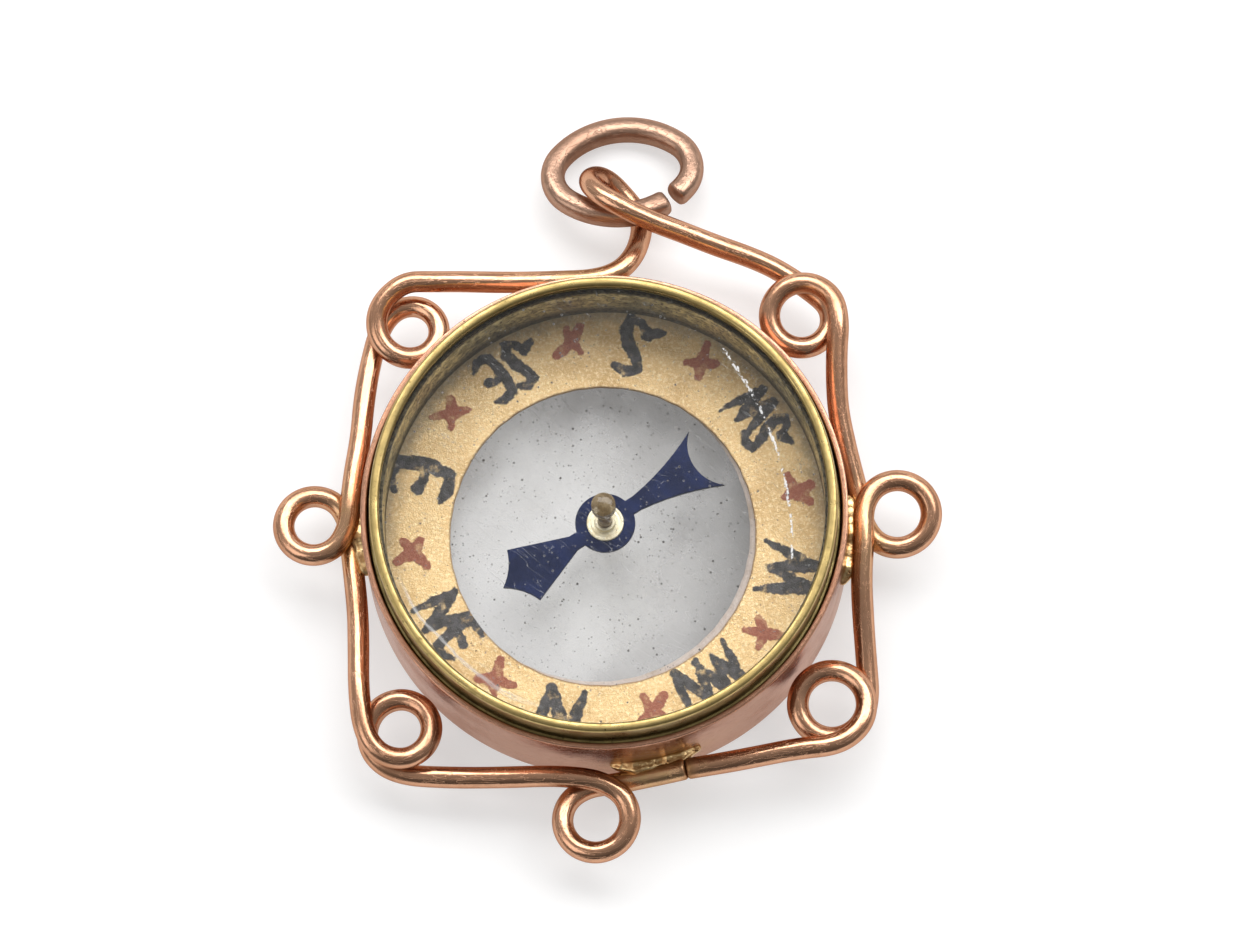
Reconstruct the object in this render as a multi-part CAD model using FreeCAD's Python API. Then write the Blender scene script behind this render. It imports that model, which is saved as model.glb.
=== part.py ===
"""Compass fob: a see-through compass capsule in a round rose-gold band, framed by one bent wire
with seven scroll loops and a bail loop, and hung from an open jump ring.

Millimetres. +Z out of the dial, +Y up towards the bail, +X to the right of the dial.
The origin is the centre of the band's back edge, which rests on the table at z = 0."""

import FreeCAD, Part

import math
import os

# ---------------------------------------------------------------- driving sizes
BAND_DIAMETER = 20.0
BAND_WALL = 0.25
BAND_DEPTH = 5.25
BAND_LIP_WIDTH = 0.45        # inward lip at the back that stops the capsule
BAND_LIP_THICKNESS = 0.25

CAPSULE_PLAY = 0.05          # running clearance of the capsule in the band, radial and at the back
CUP_WALL = 0.45
CUP_LIP_WIDTH = 0.30
CUP_LIP_THICKNESS = 0.20
CUP_SHOULDER_BELOW_RIM = 0.40
GLASS_ABOVE_RIM = 0.60       # underside of the front glass over the band's rim
SPIGOT_WALL = 0.15           # thin top of the cup that the bezel is pushed over
BEZEL_WALL = 0.18
BEZEL_LIP_WIDTH = 0.23
BEZEL_LIP_THICKNESS = 0.25

REAR_GLASS_THICKNESS = 0.50
FRONT_GLASS_THICKNESS = 0.50
GLASS_PLAY = 0.02
REAR_RING_HEIGHT = 1.41      # distance ring under the dial cards
RING_WALL = 0.15
RING_PLAY = 0.03
RING_SPLIT = 0.20            # the distance rings are bent strip with a butt gap
CARD_THICKNESS = 0.15
CARD_HOLE_RADIUS = 6.30
FRONT_HOLE_CENTRE = (-0.12, -0.46)   # both holes are cut by hand, off the middle
REAR_HOLE_CENTRE = (-0.34, -0.24)

PIVOT_CUP_RADIUS = 0.50
PIVOT_CUP_STANDS_IN = 0.10   # how far a cup stands into the capsule
PIVOT_CUP_DOME = 0.15        # height of its rounded outer end
PIVOT_RECESS_RADIUS = 0.30
PIVOT_RECESS_DEPTH = 0.32
STAFF_RADIUS = 0.28
STAFF_POINT_LENGTH = 0.45
STAFF_END_PLAY = 0.05
COLLET_THICKNESS = 0.30
COLLET_HUB_RADIUS = 0.42
COLLET_HUB_HEIGHT = 0.25

NEEDLE_THICKNESS = 0.20
NEEDLE_ABOVE_CARD = 0.24
NEEDLE_HEADING = 33.0        # degrees from +X to the swallow-tail end
NEEDLE_EYE_RADIUS = 0.77
NEEDLE_RING_RADIUS = 1.24
TAIL_LENGTH = 5.00           # pivot to the tips of the swallow tail
TAIL_HALF_WIDTH = 1.36
TAIL_NOTCH = 0.63            # how deep the swallow tail is hollowed
CROWN_LENGTH = 5.00          # pivot to the middle point of the other end
CROWN_SHOULDER = 4.00        # pivot to its two side points
CROWN_HALF_WIDTH = 1.26
NECK_HALF_WIDTH = 0.33
NECK_AT = 1.55

WIRE_DIAMETER = 0.90
TURN_CLEARANCE = 0.06        # between one turn of a loop and the next, as the wire climbs
WIRE_LOW = 1.80              # height at which the wire enters each loop
BUTT_GAP = 0.04              # between the two ends of the wire
ROUTE_RADIUS = 10.45         # the route is drawn for a wire centre line this far out beside the band,
ROUTE_PITCH = 0.96           # for a loop that rises this much in a full turn,
ROUTE_BAIL_FILL = 0.975      # and for wire and jump-ring wire whose radii add up to this
BAIL_CENTRE = (0.30, 14.25, 1.90)
BAIL_RADIUS = 1.45           # about this, from its centre to its wire

JUMP_RING_WIRE = 1.05
JUMP_RING_LONG = 2.92        # half length and half width of the oval's centre line
JUMP_RING_SHORT = 2.12
JUMP_RING_END_RADIUS = 1.55
JUMP_RING_CENTRE = (0.66, 15.52)
JUMP_RING_TURN = 8.0         # degrees, the oval's long axis from +X
JUMP_RING_TILT = 18.0        # degrees, its near side raised on the bail
JUMP_RING_GAP = 0.45
JUMP_RING_GAP_AT = -43.0     # degrees round the oval
JUMP_RING_FLOOR_GAP = 0.01

SOLDER_THICKNESS = 1.10

# ---------------------------------------------------------------- derived sizes
BAND_RADIUS = BAND_DIAMETER / 2
BAND_BORE = BAND_RADIUS - BAND_WALL
CUP_RADIUS = BAND_BORE - CAPSULE_PLAY
CUP_BORE = CUP_RADIUS - CUP_WALL
SPIGOT_RADIUS = CUP_BORE + SPIGOT_WALL
BEZEL_RADIUS = SPIGOT_RADIUS + BEZEL_WALL
RING_RADIUS = CUP_BORE - RING_PLAY
CARD_RADIUS = CUP_BORE - RING_PLAY

CUP_BACK_Z = BAND_LIP_THICKNESS + CAPSULE_PLAY
REAR_GLASS_Z = CUP_BACK_Z + CUP_LIP_THICKNESS
REAR_RING_Z = REAR_GLASS_Z + REAR_GLASS_THICKNESS
REAR_CARD_Z = REAR_RING_Z + REAR_RING_HEIGHT
FRONT_CARD_Z = REAR_CARD_Z + CARD_THICKNESS
FRONT_RING_Z = FRONT_CARD_Z + CARD_THICKNESS
FRONT_GLASS_Z = BAND_DEPTH + GLASS_ABOVE_RIM
FRONT_RING_HEIGHT = FRONT_GLASS_Z - FRONT_RING_Z
BEZEL_LIP_Z = FRONT_GLASS_Z + FRONT_GLASS_THICKNESS
CUP_SHOULDER_Z = BAND_DEPTH - CUP_SHOULDER_BELOW_RIM
NEEDLE_Z = FRONT_RING_Z + NEEDLE_ABOVE_CARD
WIRE_RADIUS = WIRE_DIAMETER / 2
WIRE_PITCH = WIRE_DIAMETER + TURN_CLEARANCE
MOVE_OUT = BAND_RADIUS + WIRE_RADIUS - ROUTE_RADIUS
BAIL_GROWTH = WIRE_RADIUS + JUMP_RING_WIRE / 2 - ROUTE_BAIL_FILL

Z_AXIS = FreeCAD.Vector(0, 0, 1)


def vec(x, y, z=0.0):
    return FreeCAD.Vector(x, y, z)


def disc(radius, z, height, x=0.0, y=0.0):
    """Round plate or plug standing on z."""
    return Part.makeCylinder(radius, height, vec(x, y, z), Z_AXIS)


def ring(outer, inner, z, height):
    """Flat ring or tube standing on z."""
    return disc(outer, z, height).cut(disc(inner, z, height))


def turned(profile):
    """Solid turned about the Z axis from (radius, z) corners."""
    wire = Part.makePolygon([vec(r, 0, z) for r, z in profile + profile[:1]])
    return Part.Face(wire).revolve(vec(0, 0, 0), Z_AXIS, 360)


# ---------------------------------------------------------------- case band
def case_band():
    """Plain tube with a narrow lip turned in at the back."""
    tube = ring(BAND_RADIUS, BAND_BORE, 0, BAND_DEPTH)
    lip = ring(BAND_BORE, BAND_BORE - BAND_LIP_WIDTH, 0, BAND_LIP_THICKNESS)
    return tube.fuse(lip).removeSplitter()


# ---------------------------------------------------------------- compass capsule
def capsule_cup():
    """Brass cup: a lip holds the rear glass, and a thin spigot carries the bezel."""
    lip_bore = CUP_BORE - CUP_LIP_WIDTH
    return turned([
        (lip_bore, CUP_BACK_Z),
        (CUP_RADIUS, CUP_BACK_Z),
        (CUP_RADIUS, CUP_SHOULDER_Z),
        (SPIGOT_RADIUS, CUP_SHOULDER_Z),
        (SPIGOT_RADIUS, FRONT_GLASS_Z),
        (CUP_BORE, FRONT_GLASS_Z),
        (CUP_BORE, REAR_GLASS_Z),
        (lip_bore, REAR_GLASS_Z),
    ])


def front_bezel():
    """Sheet-brass ring pushed over the spigot, with a lip over the front glass."""
    top = BEZEL_LIP_Z + BEZEL_LIP_THICKNESS
    lip_bore = SPIGOT_RADIUS - BEZEL_LIP_WIDTH
    body = turned([
        (SPIGOT_RADIUS, CUP_SHOULDER_Z),
        (BEZEL_RADIUS, CUP_SHOULDER_Z),
        (BEZEL_RADIUS, top),
        (lip_bore, top),
        (lip_bore, BEZEL_LIP_Z),
        (SPIGOT_RADIUS, BEZEL_LIP_Z),
    ])
    rim = [e for e in body.Edges if min(v.Z for v in e.Vertexes) > top - 1e-6]
    return body.makeFillet(0.3 * min(BEZEL_LIP_THICKNESS, BEZEL_WALL), rim)


def glass(z, thickness, radius):
    """Flat glass with a hole in the middle for its pivot cup."""
    return ring(radius, PIVOT_CUP_RADIUS, z, thickness)


def distance_ring(z, height):
    """Brass strip bent round inside the cup, its ends nearly meeting at the bottom."""
    band = ring(RING_RADIUS, RING_RADIUS - RING_WALL, z, height)
    corner = vec(-RING_SPLIT / 2, -RING_RADIUS - RING_WALL / 2, z)
    gap = Part.makeBox(RING_SPLIT, 2 * RING_WALL, height, corner)
    return band.cut(gap)


def dial_card(z, hole_centre):
    """Paper ring with a hand-cut hole."""
    return disc(CARD_RADIUS, z, CARD_THICKNESS).cut(disc(CARD_HOLE_RADIUS, z, CARD_THICKNESS, *hole_centre))


# ---------------------------------------------------------------- pivots
def pivot_cup(inner_z, outer_z):
    """Stud set in a glass: a conical cup faces the needle, a low dome faces out.

    inner_z is the glass face towards the needle, outer_z its outer face."""
    way = 1 if outer_z > inner_z else -1
    mouth = inner_z - way * PIVOT_CUP_STANDS_IN
    crown = outer_z + way * PIVOT_CUP_DOME
    dome_radius = (PIVOT_CUP_RADIUS**2 + PIVOT_CUP_DOME**2) / (2 * PIVOT_CUP_DOME)
    ball = Part.makeSphere(dome_radius, vec(0, 0, crown - way * dome_radius))
    stud = disc(PIVOT_CUP_RADIUS, min(mouth, crown), abs(crown - mouth)).common(ball)
    recess = Part.makeCone(
        PIVOT_RECESS_RADIUS, 0, PIVOT_RECESS_DEPTH, vec(0, 0, mouth), vec(0, 0, way)
    )
    return stud.cut(recess)


REAR_APEX_Z = REAR_RING_Z + PIVOT_CUP_STANDS_IN - PIVOT_RECESS_DEPTH
FRONT_APEX_Z = FRONT_GLASS_Z - PIVOT_CUP_STANDS_IN + PIVOT_RECESS_DEPTH


def pivot_staff():
    """Round staff, pointed at both ends, that turns in the two pivot cups."""
    low = REAR_APEX_Z + STAFF_END_PLAY
    high = FRONT_APEX_Z - STAFF_END_PLAY
    return turned([
        (0, low),
        (STAFF_RADIUS, low + STAFF_POINT_LENGTH),
        (STAFF_RADIUS, high - STAFF_POINT_LENGTH),
        (0, high),
    ])


def needle_collet():
    """Brass disc that fills the needle's eye, with a small hub gripping the staff."""
    base = NEEDLE_Z + (NEEDLE_THICKNESS - COLLET_THICKNESS) / 2
    plate = disc(NEEDLE_EYE_RADIUS, base, COLLET_THICKNESS)
    hub = disc(COLLET_HUB_RADIUS, base + COLLET_THICKNESS, COLLET_HUB_HEIGHT)
    bore = disc(STAFF_RADIUS, base, COLLET_THICKNESS + COLLET_HUB_HEIGHT)
    return plate.fuse(hub).cut(bore).removeSplitter()


def curve(a, b, c):
    """Arc from a to c through b, each an (x, y) pair."""
    return Part.Arc(vec(*a), vec(*b), vec(*c)).toShape()


def line(a, b):
    return Part.LineSegment(vec(*a), vec(*b)).toShape()


def needle():
    """Blued steel blade: a ring in the middle, a swallow tail one way, a three-point crown the other."""
    tail, tail_w = TAIL_LENGTH, TAIL_HALF_WIDTH
    crown_w = CROWN_HALF_WIDTH
    scallop = (CROWN_SHOULDER + 0.33 * (CROWN_LENGTH - CROWN_SHOULDER), 0.5 * crown_w)
    swell = (0.5 * (NECK_AT + tail), 0.5 * (NECK_HALF_WIDTH + tail_w) - 0.03 * tail)
    outline = [
        curve((NECK_AT, NECK_HALF_WIDTH), (swell[0], swell[1]), (tail, tail_w)),
        curve((tail, tail_w), (tail - TAIL_NOTCH, 0), (tail, -tail_w)),
        curve((tail, -tail_w), (swell[0], -swell[1]), (NECK_AT, -NECK_HALF_WIDTH)),
        line((NECK_AT, -NECK_HALF_WIDTH), (-NECK_AT, -NECK_HALF_WIDTH)),
        line((-NECK_AT, -NECK_HALF_WIDTH), (-CROWN_SHOULDER, -crown_w)),
        curve((-CROWN_SHOULDER, -crown_w), (-scallop[0], -scallop[1]), (-CROWN_LENGTH, 0)),
        curve((-CROWN_LENGTH, 0), (-scallop[0], scallop[1]), (-CROWN_SHOULDER, crown_w)),
        line((-CROWN_SHOULDER, crown_w), (-NECK_AT, NECK_HALF_WIDTH)),
        line((-NECK_AT, NECK_HALF_WIDTH), (NECK_AT, NECK_HALF_WIDTH)),
    ]
    blade = Part.Face(Part.Wire(outline)).extrude(vec(0, 0, NEEDLE_THICKNESS))
    blade = blade.fuse(disc(NEEDLE_RING_RADIUS, 0, NEEDLE_THICKNESS))
    blade = blade.cut(disc(NEEDLE_EYE_RADIUS, 0, NEEDLE_THICKNESS)).removeSplitter()
    blade.rotate(vec(0, 0, 0), Z_AXIS, NEEDLE_HEADING)
    blade.translate(vec(0, 0, NEEDLE_Z))
    return blade


# ---------------------------------------------------------------- scroll wire
def moved_out(x, y):
    """A spot of the route, straight out from the middle by what the band or the wire has grown."""
    factor = 1 + MOVE_OUT / math.hypot(x, y)
    return x * factor, y * factor


def run(points):
    """A run of the route between two loops: moved out, and climbing as steeply as the loops do."""
    return [(*moved_out(x, y), WIRE_LOW + (z - WIRE_LOW) * WIRE_PITCH / ROUTE_PITCH) for x, y, z in points]


def bail_loop():
    """The bail's points, spread about its centre to hold a thicker jump ring or wire."""
    spread = 1 + BAIL_GROWTH / BAIL_RADIUS
    x0, y0, z0 = BAIL_CENTRE
    return [
        (x0 + (x - x0) * spread, y0 + (y - y0) * spread + MOVE_OUT, z0 + (z - z0) * spread + BAIL_GROWTH)
        for x, y, z in BAIL_LOOP
    ]


def loop(centre, start, turn, radii):
    """Points of one loop of wire, which rises by WIRE_PITCH in each full turn.

    start and turn are in degrees, a negative turn runs clockwise, and radii are the radius at the
    loop's start, middle and end. The points stand a little outside, so their arcs make the circle."""
    steps = max(8, round(abs(turn) / 45))
    step = turn / steps
    centre = moved_out(*centre)
    points = []
    for i in range(steps + 1):
        t = i / steps
        first, middle, last = radii
        radius = first * (1 - t) * (1 - 2 * t) + 4 * middle * t * (1 - t) + last * t * (2 * t - 1)
        reach = radius / math.cos(math.radians(step / 2))
        angle = math.radians(start + i * step)
        points.append((
            centre[0] + reach * math.cos(angle),
            centre[1] + reach * math.sin(angle),
            WIRE_LOW + WIRE_PITCH * abs(i * step) / 360,
        ))
    return points


def wire_route():
    """The wire's centre line, clockwise from its butt joint at the bottom right."""
    return (
        run([(3.30, -10.20, 2.40), (2.44, -10.36, 2.20), (1.41, -10.52, 2.00), (0.35, -10.72, 1.84)])
        + loop((-0.38, -12.27), 105, 335, (1.39, 1.39, 1.39))
        + run([(-1.03, -10.62, 2.70), (-2.30, -10.52, 2.60), (-4.30, -10.52, 2.30), (-6.50, -10.45, 2.00)])
        + loop((-8.37, -8.50), -92, -440, (1.66, 1.24, 1.45))
        + run([(-10.13, -6.90, 2.90), (-10.15, -5.20, 2.60), (-10.20, -3.60, 2.30), (-10.38, -1.95, 2.00),
               (-10.53, -0.80, 1.86)])
        + loop((-12.00, 0.15), 10, 342, (1.30, 1.30, 1.30))
        + run([(-10.52, 0.90, 2.78), (-10.40, 2.20, 2.62), (-10.13, 3.80, 2.40), (-10.02, 5.50, 2.15),
               (-9.78, 7.10, 1.92)])
        + loop((-8.00, 8.42), 166, -424, (1.30, 1.12, 1.84))
        + run([(-7.20, 10.38, 2.90), (-5.95, 10.42, 2.75), (-4.20, 10.42, 2.55), (-2.20, 10.50, 2.35),
               (-0.45, 10.62, 2.15), (0.60, 11.05, 1.95), (1.18, 11.80, 1.70), (1.42, 12.70, 1.12)])
        + bail_loop()
        + run([(2.05, 12.86, 3.00), (3.10, 12.52, 2.75), (4.60, 11.98, 2.45), (6.00, 11.56, 2.15),
               (7.20, 11.05, 1.92)])
        + loop((8.10, 8.90), 66, -440, (1.20, 1.30, 1.50))
        + run([(9.56, 7.40, 2.85), (9.55, 6.00, 2.65), (9.62, 4.80, 2.45), (9.95, 3.30, 2.20),
               (10.30, 1.95, 1.95), (10.56, 0.90, 1.84)])
        + loop((12.06, 0.52), -169, 340, (1.37, 1.37, 1.37))
        + run([(10.64, -0.55, 2.78), (10.52, -2.20, 2.60), (10.60, -4.00, 2.25), (10.72, -5.70, 1.95)])
        + loop((9.18, -7.50), 9, -446, (1.55, 1.30, 1.76))
        + run([(7.90, -9.48, 2.90), (6.30, -9.76, 2.72), (4.70, -10.02, 2.52),
               (3.30 + 0.985 * BUTT_GAP, -10.20 - 0.17 * BUTT_GAP, 2.40)])
    )


# The bail loop stands on edge, so that the jump ring's wire passes through it from side to side.
BAIL_LOOP = [
    (1.47, 13.40, 0.68),
    (1.22, 14.00, 0.56),
    (0.80, 14.55, 0.60),
    (0.12, 15.21, 0.98),
    (-0.40, 15.28, 1.55),
    (-0.72, 14.96, 2.22),
    (-0.65, 14.50, 2.82),
    (-0.15, 13.97, 3.16),
    (0.42, 13.62, 3.26),
    (1.15, 13.22, 3.22),
]


def bent_path(points):
    """Straight runs joined by tangent arcs, each as large as its two runs allow."""
    spots = [vec(*p) for p in points]
    edges, at, tightest = [], spots[0], float("inf")
    for before, corner, after in zip(spots, spots[1:], spots[2:]):
        arriving, leaving = corner - before, after - corner
        shorter = min(arriving.Length, leaving.Length)
        half_turn = arriving.getAngle(leaving) / 2
        setback = 0.45 * shorter
        radius = setback / math.tan(half_turn)
        tightest = min(tightest, radius)
        inward = arriving.normalize() * -1
        outward = leaving.normalize()
        start, end = corner + inward * setback, corner + outward * setback
        bisector = (inward + outward).normalize()
        centre_far = radius / math.cos(half_turn)
        crown = corner + bisector * (centre_far - radius)
        edges.append(Part.LineSegment(at, start).toShape())
        edges.append(Part.Arc(start, crown, end).toShape())
        at = end
    edges.append(Part.LineSegment(at, spots[-1]).toShape())
    print("tightest bend of the wire:", round(tightest, 2), "mm")
    return Part.Wire(edges)


def tube(path, radius):
    """Round wire swept along a path."""
    first = path.Edges[0]
    start = first.valueAt(first.FirstParameter)
    heading = first.tangentAt(first.FirstParameter)
    section = Part.Wire(Part.makeCircle(radius, start, heading))
    swept = path.makePipeShell([section], True, True)
    length = path.Length
    print("wire volume over section times length:", round(swept.Volume / (math.pi * radius**2 * length), 4))
    return swept


def scroll_wire():
    """One round wire bent cold into the whole frame, its ends butted at the bottom right."""
    return tube(bent_path(wire_route()), WIRE_RADIUS)


# ---------------------------------------------------------------- solder webs
def solder_web(angle, span, reach, z):
    """Fillet of solder between the band and the wire beside it.

    angle and span are degrees round the band, reach is how far it stands out from the band."""
    outer = BAND_RADIUS + reach
    inner = BAND_RADIUS - 0.2 * BAND_WALL
    half = math.radians(span / 2)
    tip = math.radians(0.3 * span)
    middle = math.radians(angle)

    def at(radius, turn):
        return (radius * math.cos(middle + turn), radius * math.sin(middle + turn))

    outline = [
        curve(at(inner, -half), at(inner, 0), at(inner, half)),
        line(at(inner, half), at(outer, tip)),
        curve(at(outer, tip), at(outer, 0), at(outer, -tip)),
        line(at(outer, -tip), at(inner, -half)),
    ]
    web = Part.Face(Part.Wire(outline)).extrude(vec(0, 0, SOLDER_THICKNESS))
    web.translate(vec(0, 0, z - SOLDER_THICKNESS / 2))
    return web


# ---------------------------------------------------------------- jump ring
def jump_ring():
    """Oval ring of round wire, sprung open, lying over the bail with its far side on the table."""
    end_centre = JUMP_RING_LONG - JUMP_RING_END_RADIUS
    rise = JUMP_RING_SHORT - JUMP_RING_END_RADIUS
    side_centre = (end_centre**2 - rise**2) / (2 * rise)
    side_radius = JUMP_RING_SHORT + side_centre
    join = math.degrees(math.atan2(side_centre, end_centre))
    section = JUMP_RING_WIRE / 2
    pieces = []
    for x, y, radius, start, span in (
        (end_centre, 0, JUMP_RING_END_RADIUS, -join, 2 * join),
        (0, -side_centre, side_radius, join, 180 - 2 * join),
        (-end_centre, 0, JUMP_RING_END_RADIUS, 180 - join, 2 * join),
        (0, side_centre, side_radius, 180 + join, 180 - 2 * join),
    ):
        spoke = vec(math.cos(math.radians(start)), math.sin(math.radians(start)))
        heading = vec(-spoke.y, spoke.x)
        face = Part.Face(Part.Wire(Part.makeCircle(section, vec(x, y) + spoke * radius, heading)))
        pieces.append(face.revolve(vec(x, y), Z_AXIS, span))
    oval = pieces[0].multiFuse(pieces[1:]).removeSplitter()
    gap = Part.makeBox(
        4 * section, JUMP_RING_GAP, 4 * section,
        vec(JUMP_RING_LONG - 3.2 * section, -JUMP_RING_GAP / 2, -2 * section),
    )
    gap.rotate(vec(0, 0, 0), Z_AXIS, JUMP_RING_GAP_AT)
    oval = oval.cut(gap)
    oval.rotate(vec(0, 0, 0), Z_AXIS, JUMP_RING_TURN)
    oval.rotate(vec(0, 0, 0), vec(1, 0, 0), -JUMP_RING_TILT)
    lowest = oval.optimalBoundingBox().ZMin
    x, y = JUMP_RING_CENTRE
    oval.translate(vec(x, y + MOVE_OUT, JUMP_RING_FLOOR_GAP - lowest))
    return oval


# ---------------------------------------------------------------- the pieces
def pieces():
    rear_glass_radius = CUP_BORE - GLASS_PLAY
    front_glass_radius = SPIGOT_RADIUS - GLASS_PLAY
    return {
        "case_band": case_band(),
        "scroll_wire": scroll_wire(),
        "solder_web_left": solder_web(180, 21, 0.55, 2.2),
        "solder_web_right": solder_web(-3.4, 20, 0.60, 2.27),
        "solder_web_bottom": solder_web(-78, 20, 0.55, 2.1),
        "solder_web_top": solder_web(94, 18, 0.50, 2.3),
        "jump_ring": jump_ring(),
        "capsule_cup": capsule_cup(),
        "front_bezel": front_bezel(),
        "rear_glass": glass(REAR_GLASS_Z, REAR_GLASS_THICKNESS, rear_glass_radius),
        "front_glass": glass(FRONT_GLASS_Z, FRONT_GLASS_THICKNESS, front_glass_radius),
        "rear_distance_ring": distance_ring(REAR_RING_Z, REAR_RING_HEIGHT),
        "front_distance_ring": distance_ring(FRONT_RING_Z, FRONT_RING_HEIGHT),
        "rear_dial_card": dial_card(REAR_CARD_Z, REAR_HOLE_CENTRE),
        "front_dial_card": dial_card(FRONT_CARD_Z, FRONT_HOLE_CENTRE),
        "rear_pivot_cup": pivot_cup(REAR_RING_Z, REAR_GLASS_Z),
        "front_pivot_cup": pivot_cup(FRONT_GLASS_Z, BEZEL_LIP_Z),
        "needle": needle(),
        "needle_collet": needle_collet(),
        "pivot_staff": pivot_staff(),
    }


os.makedirs("parts", exist_ok=True)
for name, shape in pieces().items():
    body = shape.Solids[0]
    body.exportStep(f"parts/{name}.step")
    print(name, len(shape.Solids), "solid,", round(body.Volume, 3), "mm3, valid:", body.isValid())
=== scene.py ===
"""Compass fob on a white table: the looks of each piece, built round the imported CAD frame.

Lengths written in this file are millimetres until MM turns them into metres."""

import math

import bpy
import numpy as np
from mathutils import Matrix, Vector


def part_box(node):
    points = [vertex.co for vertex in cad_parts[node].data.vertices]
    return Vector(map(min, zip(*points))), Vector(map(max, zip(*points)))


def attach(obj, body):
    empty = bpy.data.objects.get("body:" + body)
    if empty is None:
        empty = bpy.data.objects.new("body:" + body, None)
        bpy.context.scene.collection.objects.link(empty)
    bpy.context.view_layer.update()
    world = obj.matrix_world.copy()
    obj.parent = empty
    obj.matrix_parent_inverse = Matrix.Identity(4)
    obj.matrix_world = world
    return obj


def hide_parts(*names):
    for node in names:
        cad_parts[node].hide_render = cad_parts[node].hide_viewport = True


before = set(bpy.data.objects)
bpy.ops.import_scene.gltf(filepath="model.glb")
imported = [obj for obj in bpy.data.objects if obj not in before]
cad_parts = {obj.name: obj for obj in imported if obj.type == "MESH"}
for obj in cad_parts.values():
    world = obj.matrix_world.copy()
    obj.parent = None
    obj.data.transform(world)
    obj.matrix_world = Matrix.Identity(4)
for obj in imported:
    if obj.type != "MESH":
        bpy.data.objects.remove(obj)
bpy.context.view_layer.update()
MM = 0.001


# ---------------------------------------------------------------- gold band
# A plain short tube of rose gold with a narrow lip turned in at the back. It is rolled and soldered
# from sheet, so its rim is a little uneven, and years of wear have left it polished and dented.
class Value:
    """A shader socket in arithmetic: an expression on it adds its Math nodes."""

    def __init__(self, finish, socket):
        self.finish, self.socket = finish, socket

    def math(self, operation, *operands, clamp=False):
        settings = {"operation": operation, "use_clamp": clamp}
        return self.finish.node("Math", settings, dict(enumerate(operands)))

    def __add__(self, other):
        return self.math("ADD", self, other)

    def __radd__(self, other):
        return self.math("ADD", other, self)

    def __sub__(self, other):
        return self.math("SUBTRACT", self, other)

    def __rsub__(self, other):
        return self.math("SUBTRACT", other, self)

    def __mul__(self, other):
        return self.math("MULTIPLY", self, other)

    def __rmul__(self, other):
        return self.math("MULTIPLY", other, self)

    def __pow__(self, other):
        return self.math("POWER", self, other)

    def clip(self):
        return self.math("ADD", self, 0.0, clamp=True)

    def most(self, other):
        return self.math("MAXIMUM", self, other)

    def distance(self):
        return self.math("ABSOLUTE", self)

    def sine(self):
        return self.math("SINE", self)

    def step(self, low, high):
        """0 below low, 1 above high, smooth between; low may be the larger."""
        settings = {"interpolation_type": "SMOOTHSTEP"}
        if low > high:
            return 1 - self.step(high, low)
        return self.finish.node("MapRange", settings, {"Value": self, "From Min": low, "From Max": high})


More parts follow.
